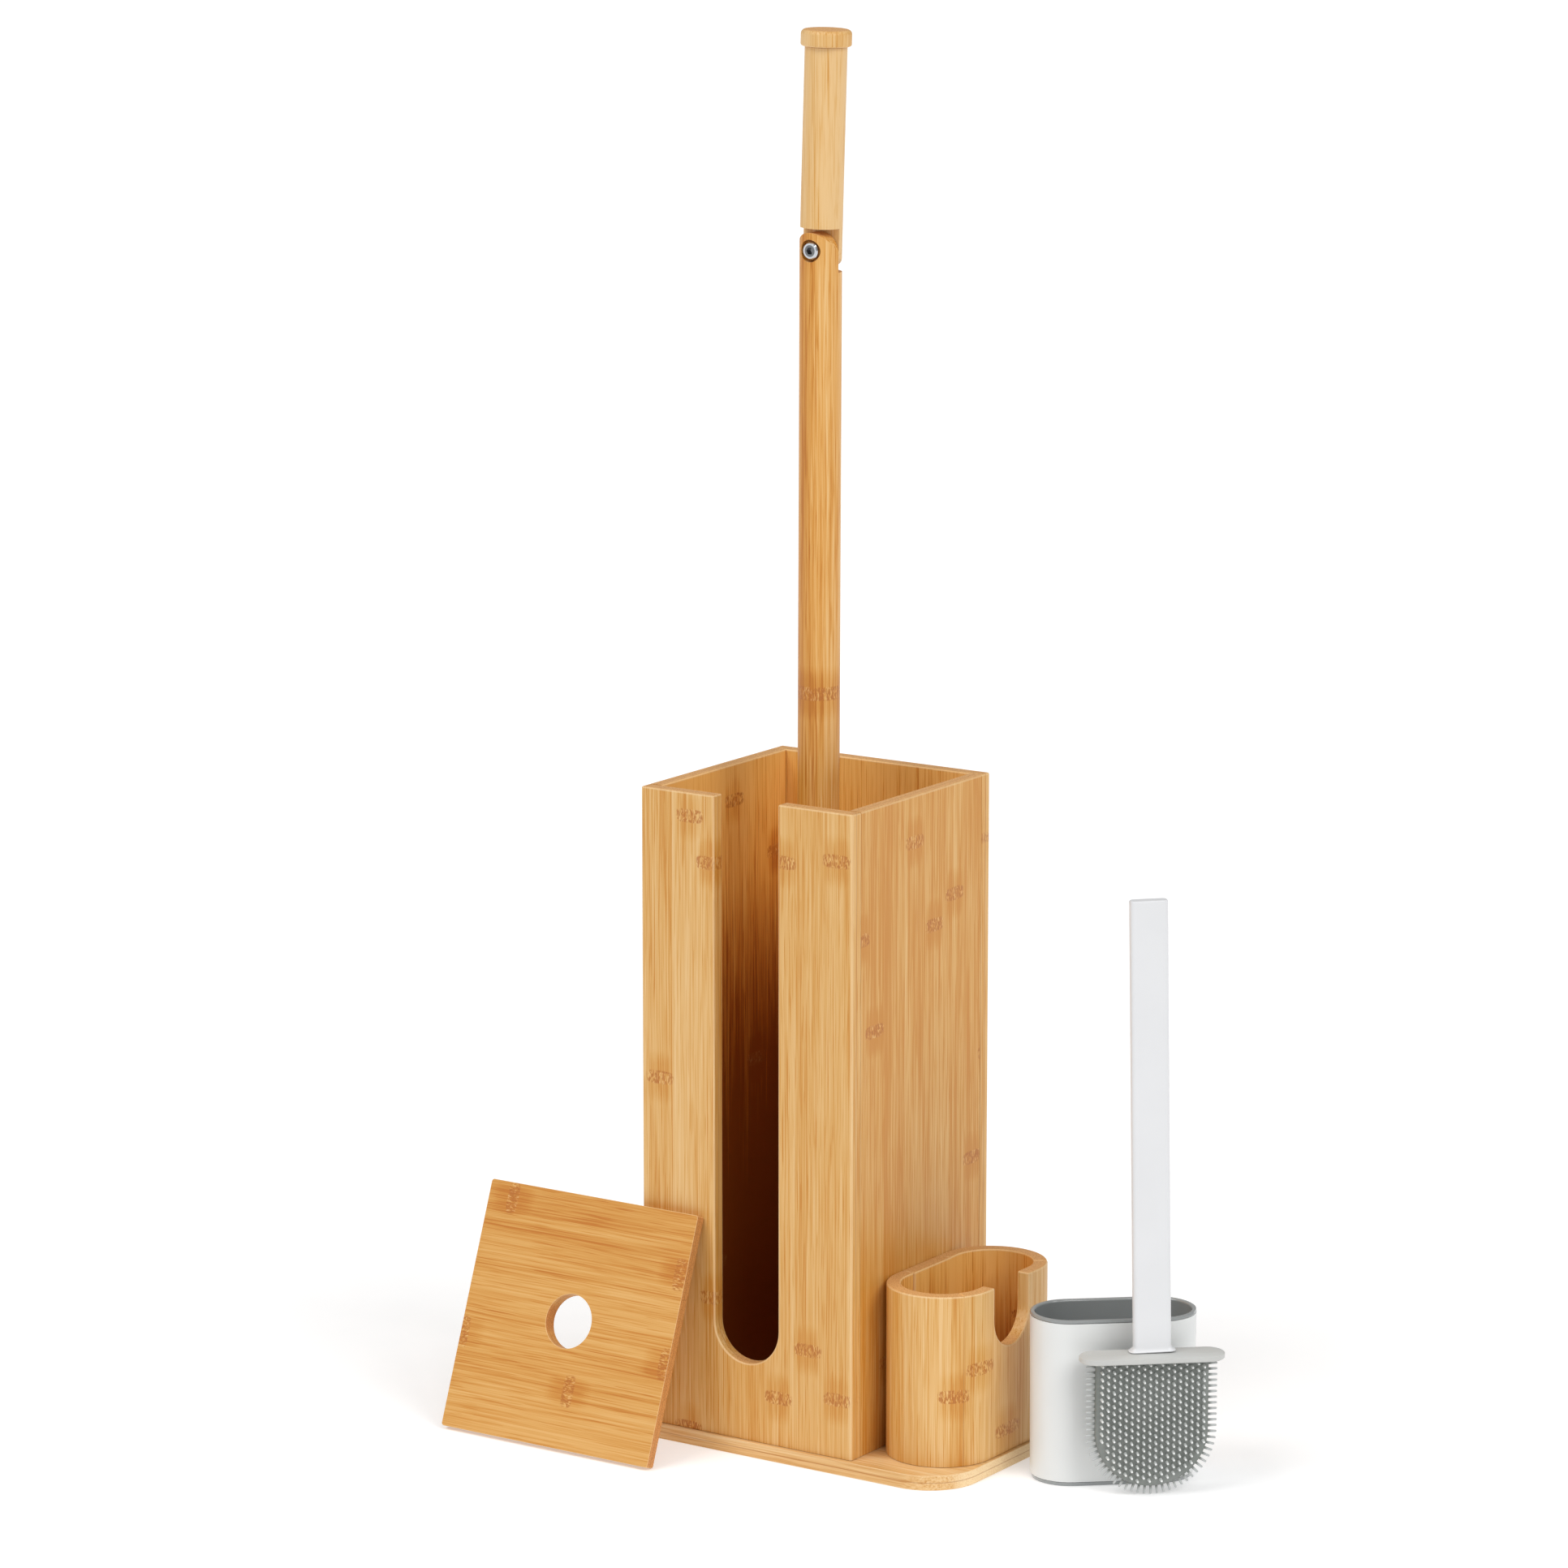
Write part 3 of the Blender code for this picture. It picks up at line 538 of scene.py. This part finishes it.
# Culm nodes: across and up in mm from the part's low corner, as in the photograph on the
# front, the right side, the cup and the lid, and free on the left and the back
FRONT_MARKS = ((35, 377), (49, 350), (101, 357), (139, 362), (51, 84), (119, 63), (98, 30),
               (140, 36), (33, 1), (13, 215))
RIGHT_MARKS = ((24, 257), (9, 314), (67, 363), (89, 309), (111, 324), (132, 157), (148, 220),
               (40, 52), (96, 21))
LEFT_MARKS = ((20, 120), (42, 300), (66, 84), (85, 369), (108, 204), (130, 330))
BACK_MARKS = ((14, 90), (36, 330), (58, 210), (80, 48), (101, 290), (123, 150), (141, 352))
CUP_MARKS = ((64, 58), (47, 43), (85, 14), (112, 64), (128, 84))
LID_MARKS = ((18, 143), (148, 116), (2, 58), (86, 35), (150, 62))


def in_metres(marks):
    return [(a * MM, b * MM) for a, b in marks]


def upright(low_corner, across, depth):
    return Grain(low_corner, across, Z, depth)


def vertical(d):
    return abs(d.z) > 0.9


def every_edge(p, d):
    return True


def make_tower():
    top = TOWER_HIGH.z
    left, right = TOWER_LOW.x, TOWER_HIGH.x
    front, back = TOWER_LOW.y, TOWER_BACK

    def outer_corner(p, d):
        at_side = min(abs(p.x - left), abs(p.x - right)) < NEAR
        at_face = min(abs(p.y - front), abs(p.y - back)) < NEAR
        return vertical(d) and at_side and at_face

    def slot_or_top(p, d):
        in_slot = abs(p.x - TOWER_MIDDLE) < SLOT_REACH and p.z > BASE_TOP + SLOT_FLOOR
        return in_slot or p.z > top - TOP_BAND and not vertical(d)

    def long_top(p, d):
        return p.z > top - NEAR and abs(d.y) > 0.9

    low = Vector((left, front, BASE_TOP))
    half = BOARD / 2
    # the faces inside the tower get painted shade: the deeper inner tone, and on all panels but the
    # front also deeper towards the foot
    material = bamboo("bamboo_front_panel", PANEL_TONE, upright(low, X, Y), 3.0,
                      marks=in_metres(FRONT_MARKS), ply=half, inside=faces(Y))
    ease("tower_front_panel", material, (OUTER_ARRIS, outer_corner), (ARRIS, slot_or_top))
    material = bamboo("bamboo_back_panel", PANEL_TONE, upright(low, X, Y), 11.0,
                      marks=in_metres(BACK_MARKS), ply=back - front - half, inside=faces(-Y),
                      foot_shade=TOWER_FOOT_SHADE)
    ease("tower_back_panel", material, (OUTER_ARRIS, outer_corner), (ARRIS, slot_or_top))
    material = bamboo("bamboo_right_panel", PANEL_TONE, upright(low, Y, X), 23.0,
                      marks=in_metres(RIGHT_MARKS), ply=right - left - half, offset=0.28,
                      inside=faces(-X), foot_shade=TOWER_FOOT_SHADE)
    ease("tower_right_panel", material, (ARRIS, long_top))
    material = bamboo("bamboo_left_panel", PANEL_TONE, upright(low, Y, X), 37.0,
                      marks=in_metres(LEFT_MARKS), ply=half, inside=faces(X), foot_shade=TOWER_FOOT_SHADE)
    ease("tower_left_panel", material, (ARRIS, long_top))


def make_base():
    low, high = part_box("base_plate")

    def outline(p, d):
        off_side = min(p.x - low.x, high.x - p.x, p.y - low.y, high.y - p.y)
        from_middle = (p - Vector((high.x - BASE_CORNER, 0, p.z))).length
        at_corner = p.x > high.x - BASE_CORNER_SPAN and off_side < BASE_CORNER_DEPTH
        return not vertical(d) and (off_side < 3 * NEAR or at_corner and from_middle > 32 * MM)

    material = bamboo("bamboo_base", BASE_TONE, Grain(low, Y, X, Z), 51.0,
                      ply=(high.z - low.z) / 2, ends=BASE_END)
    ease("base_plate", material, (ARRIS, outline))


def make_cup():
    low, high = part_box("cup_outer_wall")
    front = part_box("cup_front_end")[0]
    middle_x = (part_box("cup_inner_wall")[0].x + high.x) / 2
    hollow = faces_inwards(middle_x, low.y, high.y)
    grain = upright(front, (X + Y).normalized(), (X - Y).normalized())
    # painted shade on the cup: its hollow faces take the deeper inner tone, deeper towards the
    # foot, and drift paints one side darker
    material = bamboo("bamboo_cup", PANEL_TONE, grain, 67.0, CUP_STRIP, in_metres(CUP_MARKS),
                      offset=0.16, side_shade=-4.0, inside=hollow, foot_shade=CUP_FOOT_SHADE)

    def rim_or_notch(p, d):
        on_rim = p.z > high.z - NEAR and not vertical(d)
        return on_rim or abs(p.y - CUP_NOTCH_Y) < CUP_NOTCH_REACH and p.z > CUP_NOTCH_FLOOR

    for node in ("cup_front_end", "cup_rear_end"):
        ease(node, material, (ARRIS, rim_or_notch))
    for node in ("cup_outer_wall", "cup_inner_wall"):
        wall = ease(node, material, (ARRIS, rim_or_notch))
        wall_low, wall_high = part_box(node)
        close_seam(wall, wall_low.y, -SEAM_CLOSING)
        close_seam(wall, wall_high.y, SEAM_CLOSING)


def close_seam(piece, level, shift):
    """Bring a wall's ends at a level of Y up to the neighbour across a glued seam."""
    for vertex in piece.data.vertices:
        if abs(vertex.co.y - level) < 0.05 * MM:
            vertex.co.y += shift


def make_pole_and_arm():
    bolt_low, bolt_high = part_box("pivot_bolt")
    pivot_z = ((bolt_low + bolt_high) / 2).z
    grain = Grain(Vector((TOWER_MIDDLE - POLE_RADIUS, -POLE_RADIUS, 0.0)), X, Z, Y)
    marks = [(x * MM, POLE_NODE) for x in (2, 12, 22)]
    # painted shade: drift paints the pole and the arm darker to one side
    pole = bamboo("bamboo_pole_wood", POLE_TONE, grain, 83.0, POLE_STRIP, marks,
                  offset=0.34, side_shade=-22.0)
    arm = bamboo("bamboo_arm_wood", PANEL_TONE, grain, 96.0, POLE_STRIP, offset=-0.02, side_shade=-14.0)
    cap = bamboo("bamboo_cap", PANEL_TONE, grain, 105.0, POLE_STRIP, offset=-0.30)

    def near_pivot(p, d):
        return abs(p.z - pivot_z) < PIVOT_REACH

    ease("pole", pole, (JOINT_ARRIS, near_pivot))
    ease("holder_arm", arm, (JOINT_ARRIS, near_pivot))
    ease("arm_cap", cap, (CAP_ARRIS, every_edge))
    ease("cap_dowel", cap)


def make_lid():
    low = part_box("lid_panel")[0]
    outward = Vector(JOINTS["lid_lift"]["axis"])
    up = outward.cross(X)
    foot = Vector((low.x, low.y, LID_EDGE * outward.z))
    marks = [(height, run) for run, height in in_metres(LID_MARKS)]
    material = bamboo("bamboo_lid_wood", LID_TONE, Grain(foot, up, X, outward), 121.0,
                      marks=marks, ply=LID_PLY, ends=LID_END)
    ease("lid_panel", material, (LID_ARRIS, every_edge))


# Brush ---------------------------------------------------------------------------------

BRUSH_TURN = radians(41.0)
PAD_HALF_WIDTH = 33.6 * MM
PAD_HALF_THICKNESS = 2.6 * MM
PAD_BOTTOM = 5.4 * MM
PAD_CENTRE = PAD_BOTTOM + PAD_HALF_WIDTH    # height of the half circle's centre
PAD_RIM = 1.6 * MM                          # rounding of its edge
BEND_STEPS = 48
PEG_SIDES = 10
NUB_REACH = 8.0 * MM            # from the pad's middle plane to a nub's tip
NUB_RADIUS = 1.0 * MM
NUB_COLUMNS = 18
NUB_COLUMN = 3.55 * MM
NUB_ROW = 4.15 * MM
NUB_START = 1.5 * MM            # the first row's centre below the collar
NUB_MARGIN = 2.4 * MM
NUB_SUNK = 0.6 * MM             # how deep a nub starts in the pad
BRISTLE_REACH = 39.0 * MM       # from the pad's middle to a bristle's tip
BRISTLE_RADIUS = 0.9 * MM
BRISTLE_PITCH = 3.45 * MM
BRISTLE_SUNK = 1.0 * MM
SILICONE_DEEP, SILICONE_PALE = (114, 119, 114), (126, 130, 126)
# painted light along the nubs and a painted highlight at their tips
NUB_LIT_GREY, NUB_TIP_HIGHLIGHT, BRISTLE_GREY = (214, 217, 215), (236, 238, 236), (188, 191, 190)


def brush_frame():
    """The brush's own axes: X across the head's face, Y out of it, origin under the head."""
    low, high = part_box("brush_head")
    centre = Vector(((low.x + high.x) / 2, (low.y + high.y) / 2, 0.0))
    return Matrix.Translation(centre) @ Matrix.Rotation(BRUSH_TURN, 4, "Z")


def u_outline(inset, top):
    """The pad's outline, moved in: straight sides over a half circle, as (x, z)."""
    radius = PAD_HALF_WIDTH - inset
    turns = [pi + pi * i / BEND_STEPS for i in range(BEND_STEPS + 1)]
    bend = [(radius * cos(turn), PAD_CENTRE + radius * sin(turn)) for turn in turns]
    return bend + [(radius, top), (-radius, top)]


def add_loft(bm, rings):
    """A closed shell through rings of points."""
    loops = [[bm.verts.new(p) for p in ring] for ring in rings]
    bm.faces.new(loops[0])
    bm.faces.new(list(reversed(loops[-1])))
    count = len(loops[0])
    for low, high in zip(loops, loops[1:]):
        for i in range(count):
            j = (i + 1) % count
            bm.faces.new((low[j], low[i], high[i], high[j]))


def add_peg(bm, root, way, profile):
    """A round peg along a direction, from (distance, radius) pairs, root first."""
    side = way.orthogonal().normalized()
    other = way.cross(side)
    rings = []
    for distance, radius in profile:
        centre = root + way * distance
        turns = [2 * pi * i / PEG_SIDES for i in range(PEG_SIDES)]
        rings.append([centre + (side * cos(t) + other * sin(t)) * radius for t in turns])
    add_loft(bm, rings)


def peg_profile(length, radius, tip_radius):
    """A tapering peg with a round tip."""
    profile = [(0.0, radius), (length * 0.45, radius * 0.4 + tip_radius * 0.6)]
    for i in range(4):
        turn = i / 3 * radians(80)
        profile.append((length - tip_radius + tip_radius * sin(turn), tip_radius * cos(turn)))
    return profile


def add_pad(bm, top):
    """The flat pad, with a rounded edge."""
    rings = []
    for side in (-1, 1):
        turns = [i / 4 * pi / 2 for i in range(5)]
        for turn in turns if side < 0 else reversed(turns):
            inset = PAD_RIM * (1 - sin(turn))
            y = side * (PAD_HALF_THICKNESS - PAD_RIM + PAD_RIM * cos(turn))
            rings.append([Vector((x, y, z)) for x, z in u_outline(inset, top)])
    add_loft(bm, rings)


def add_nubs(bm, top):
    """Staggered columns of nubs on both faces, kept inside the pad's margin."""
    limit = PAD_HALF_WIDTH - NUB_MARGIN
    length = NUB_REACH - PAD_HALF_THICKNESS + NUB_SUNK
    profile = peg_profile(length, NUB_RADIUS, NUB_RADIUS * 0.65)
    for column in range(NUB_COLUMNS):
        x = (column - (NUB_COLUMNS - 1) / 2) * NUB_COLUMN
        z = top - NUB_START - (column % 2) * NUB_ROW / 2
        while z > PAD_BOTTOM:
            if z > PAD_CENTRE or x * x + (z - PAD_CENTRE) ** 2 < limit * limit:
                for side in (-1, 1):
                    root = Vector((x, side * (PAD_HALF_THICKNESS - NUB_SUNK), z))
                    add_peg(bm, root, Vector((0, side, 0)), profile)
            z -= NUB_ROW


def add_edge_bristles(bm, top):
    """One row of thin bristles all round the pad's edge."""
    start = PAD_HALF_WIDTH - BRISTLE_SUNK
    profile = peg_profile(BRISTLE_REACH - start, BRISTLE_RADIUS, BRISTLE_RADIUS * 0.75)
    z = PAD_CENTRE + BRISTLE_PITCH / 2
    while z < top - 1.5 * MM:
        for side in (-1, 1):
            add_peg(bm, Vector((side * start, 0, z)), Vector((side, 0, 0)), profile)
        z += BRISTLE_PITCH
    count = round(pi * PAD_HALF_WIDTH / BRISTLE_PITCH)
    for i in range(count):
        turn = pi + pi * (i + 0.5) / count
        way = Vector((cos(turn), 0, sin(turn)))
        add_peg(bm, Vector((0, 0, PAD_CENTRE)) + way * start, way, profile)


def silicone(name, place):
    """Soft grey silicone. The nubs are painted paler than the pad, so the pad between them reads as
    shade, and their tips get a painted highlight; the edge bristles are a paler grey.
    """
    g = Graph(name)
    local = g.vector("SUBTRACT", g.point(), place.translation)
    side, out = (g.math("ABSOLUTE", g.vector("DOT_PRODUCT", local, place.col[i].to_3d()))
                 for i in (0, 1))
    up = g.vector("DOT_PRODUCT", local, Z)
    below = g.math("MINIMUM", g.math("SUBTRACT", up, PAD_CENTRE), 0.0)
    from_middle = g.vector("LENGTH", g.combine(side, below, 0.0))
    # painted light along the nubs, and a painted highlight at their tips
    nub = g.step(out, PAD_HALF_THICKNESS - 0.3 * MM, PAD_HALF_THICKNESS + 1.6 * MM)
    nub_tip_highlight = g.step(out, NUB_REACH - 1.4 * MM, NUB_REACH - 0.1 * MM)
    bristle = g.step(from_middle, PAD_HALF_WIDTH, PAD_HALF_WIDTH + 3.0 * MM)
    skin = g.noise(g.point(), 1 / (0.6 * MM), 2.0)
    cloud = g.noise(g.point(), 1 / (18 * MM), 1.0)
    colour = g.mix(g.step(cloud, 0.3, 0.7), linear(SILICONE_DEEP), linear(SILICONE_PALE))
    for where, grey in ((nub, NUB_LIT_GREY), (nub_tip_highlight, NUB_TIP_HIGHLIGHT), (bristle, BRISTLE_GREY)):
        colour = g.mix(where, colour, linear(grey))
    g.feed(g.shader.inputs["Base Color"], colour)
    g.feed(g.shader.inputs["Roughness"], g.total(0.30, (0.12, skin)))
    g.bump(skin, 0.03 * MM, 0.4)
    return g.material


def make_brush_head():
    place = brush_frame()
    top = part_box("brush_head")[1].z
    bm = bmesh.new()
    add_pad(bm, top)
    add_nubs(bm, top)
    add_edge_bristles(bm, top)
    bmesh.ops.recalc_face_normals(bm, faces=bm.faces)
    mesh = bpy.data.meshes.new("brush_head_nubbed")
    bm.to_mesh(mesh)
    bm.free()
    mesh.transform(place)
    mesh.shade_smooth()
    mesh.set_sharp_from_angle(angle=radians(50))
    piece = bpy.data.objects.new("brush_head_nubbed", mesh)
    bpy.context.scene.collection.objects.link(piece)
    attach(piece, "brush")
    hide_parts("brush_head")
    wear(piece, silicone("silicone_nubs", place))


# Plastic and metal pieces --------------------------------------------------------------

INSERT_TURN = radians(40.3)
LIP_STRAIGHT = 25.9 * MM        # half the length of the lip's straight side
LIP_MIDDLE = 21.6 * MM          # radius of the middle of the lip's round end
LIP_ARRIS = 1.7 * MM
# radius within which the bolt's metal is painted darker, as shade in its socket
SOCKET_SHADE_RADIUS = 3.3 * MM


def make_insert():
    low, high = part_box("insert_liner")
    centre = (low + high) / 2
    along = Vector((cos(INSERT_TURN), sin(INSERT_TURN), 0))

    def hollow_rim(p, d):
        u = max(abs((p - centre).dot(along)) - LIP_STRAIGHT, 0.0)
        v = (p - centre).dot(Z.cross(along))
        return p.z > high.z - 0.2 * MM and u * u + v * v < LIP_MIDDLE * LIP_MIDDLE

    grey = grey_plastic("grey_moulded")
    ease("insert_shell", white_plastic("white_insert", INSERT_WHITE))
    ease("insert_liner", grey, (LIP_ARRIS, hollow_rim))
    ease("insert_foot_ring", grey)


def make_handle():
    ease("brush_handle", white_plastic("white_handle", HANDLE_WHITE))
    ease("brush_flange", grey_collar("collar_moulded"))


def make_metal():
    low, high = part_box("pivot_bolt")
    chrome = turned_metal("chrome_turned", CHROME, 0.16, Y, (low + high) / 2, 0.05, SOCKET_SHADE_RADIUS)
    zinc = turned_metal("zinc_plated", ZINC, 0.36, Z, Vector((0, 0, 0)), 0.25)
    for node in ("pivot_bolt", "pivot_nut"):
        ease(node, chrome)
    screws = [f"tower_screw_{i}" for i in range(1, 7)] + [f"cup_screw_{i}" for i in range(1, 5)]
    for node in ["pivot_washer", "pole_screw"] + screws:
        ease(node, zinc)


# Studio --------------------------------------------------------------------------------

CAMERA_PLACE = (1.99384, -3.0512, 1.1484)
CAMERA_PITCH = radians(90 - 11.592)
CAMERA_TURN = radians(33.894)
LENS, SENSOR = 144.08, 36.0
SKY_LIGHT, SKY_SEEN = 0.35, 1.0     # as a light, and as the camera sees it
FLOOR_HALF = 20.0
FLOOR_SUNK = 0.2 * MM
FLOOR_GLOW = 0.34
FLOOR_GREYS = ((228, 228, 228), (232, 232, 232))

# Broad far lights: azimuth (0 shines from -Y, 90 from +X), elevation, strength and spread
SUNS = {"key": (-25, 50, 1.10, 30), "fill": (80, 40, 1.10, 30), "top": (20, 80, 0.20, 30),
        "glint": (50, 48, 0.25, 12)}


def make_world():
    """A white sky that lights the object less than it looks."""
    world = bpy.data.worlds.new("studio")
    world.use_nodes = True
    tree = world.node_tree
    background = tree.nodes["Background"]
    background.inputs["Color"].default_value = (1, 1, 1, 1)
    level = tree.nodes.new("ShaderNodeMapRange")
    level.inputs["To Min"].default_value = SKY_LIGHT
    level.inputs["To Max"].default_value = SKY_SEEN
    seen = tree.nodes.new("ShaderNodeLightPath").outputs["Is Camera Ray"]
    tree.links.new(seen, level.inputs["Value"])
    tree.links.new(level.outputs["Result"], background.inputs["Strength"])
    bpy.context.scene.world = world


def make_suns():
    for name, (azimuth, elevation, strength, spread) in SUNS.items():
        light = bpy.data.lights.new(name, "SUN")
        light.energy, light.angle = strength, radians(spread)
        made = bpy.data.objects.new(name, light)
        made.rotation_euler = (radians(90 - elevation), 0.0, radians(azimuth))
        bpy.context.scene.collection.objects.link(made)


def make_floor():
    corners = [(x * FLOOR_HALF, y * FLOOR_HALF, 0) for x, y in ((-1, -1), (1, -1), (1, 1), (-1, 1))]
    mesh = bpy.data.meshes.new("floor")
    mesh.from_pydata(corners, [], [(0, 1, 2, 3)])
    ground = bpy.data.objects.new("floor", mesh)
    ground.location.z = -FLOOR_SUNK
    bpy.context.scene.collection.objects.link(ground)
    g = Graph("pale_floor")
    dark, pale = [linear(grey) for grey in FLOOR_GREYS]
    g.feed(g.shader.inputs["Base Color"], g.mix(g.noise(g.point(), 40.0, 2.0), dark, pale))
    g.shader.inputs["Roughness"].default_value = 0.9
    g.shader.inputs["Specular IOR Level"].default_value = 0.0
    g.shader.inputs["Emission Color"].default_value = (1, 1, 1, 1)
    g.shader.inputs["Emission Strength"].default_value = FLOOR_GLOW
    wear(ground, g.material)


def make_camera():
    camera = bpy.data.cameras.new("camera")
    camera.lens, camera.sensor_width = LENS, SENSOR
    camera.clip_start, camera.clip_end = 0.05, 100.0
    made = bpy.data.objects.new("camera", camera)
    made.location = CAMERA_PLACE
    made.rotation_euler = (CAMERA_PITCH, 0.0, CAMERA_TURN)
    bpy.context.scene.collection.objects.link(made)
    bpy.context.scene.camera = made
    bpy.context.scene.view_settings.view_transform = "Standard"


make_tower()
make_base()
make_cup()
make_pole_and_arm()
make_lid()
make_brush_head()
make_insert()
make_handle()
make_metal()
make_world()
make_suns()
make_floor()
make_camera()
